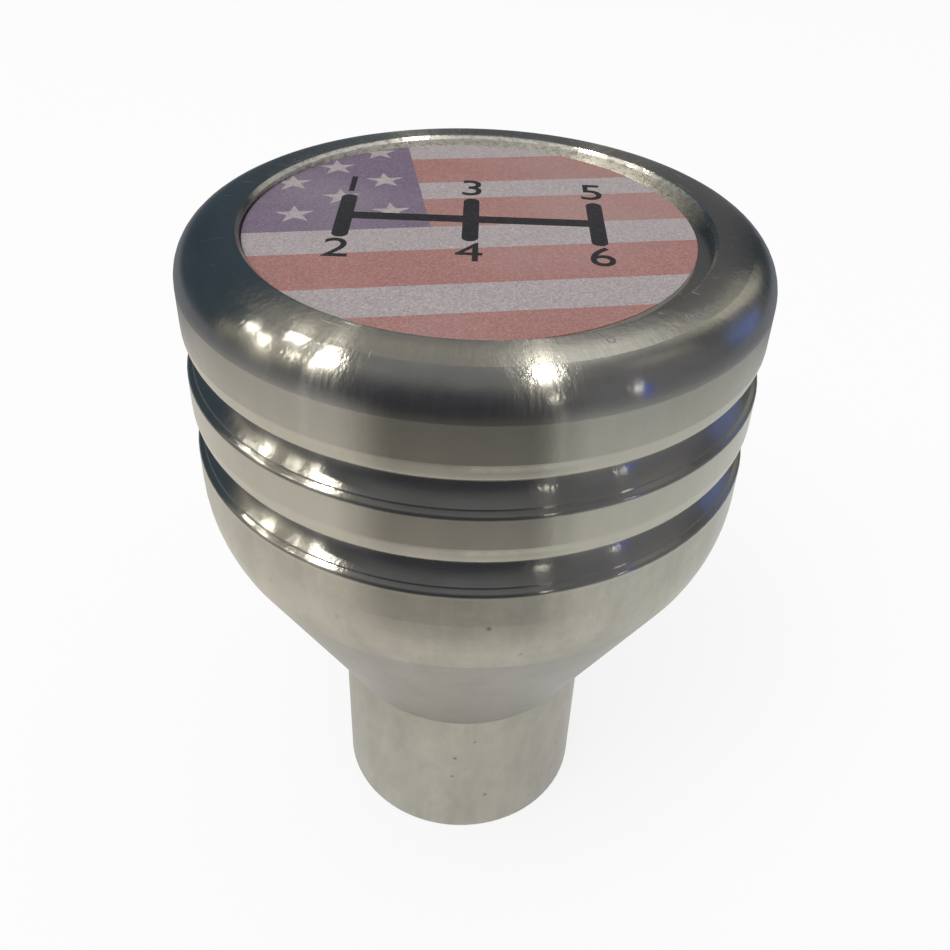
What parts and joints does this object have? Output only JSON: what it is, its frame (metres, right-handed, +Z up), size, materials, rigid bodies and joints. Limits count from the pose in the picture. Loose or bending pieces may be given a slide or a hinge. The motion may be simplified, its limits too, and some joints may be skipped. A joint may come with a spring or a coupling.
{
  "type": "gear shift knob",
  "caption": "Turned aluminium gear shift knob: round grooved head, cone and neck bored for a lever, with a striped and starred label and a plain shift pattern on top.",
  "frame": {"origin": "centre of the flat end of the neck, on the surface the knob stands on", "axes": "+Z up the knob's turning axis towards the label, +Y to the back where the grub screws are, -Y to the side the picture shows"},
  "size_m": [0.0508, 0.0508, 0.0676],
  "materials": {
    "turned_aluminium": "turned and polished, with fine turning marks, scuffs and dull patches",
    "black_steel": "blackened alloy steel",
    "label_film": "silver-white film edge",
    "print_white": "grainy laminated print",
    "print_red": "grainy laminated print",
    "print_blue": "grainy laminated print",
    "print_black": "grainy laminated print"
  },
  "bodies": {
    "root": {"knob_body": "turned_aluminium", "grub_screws": "black_steel", "label_film": "label_film", "print_white": "print_white", "print_red": "print_red", "print_blue": "print_blue", "print_black": "print_black"}
  },
  "joints": []
}
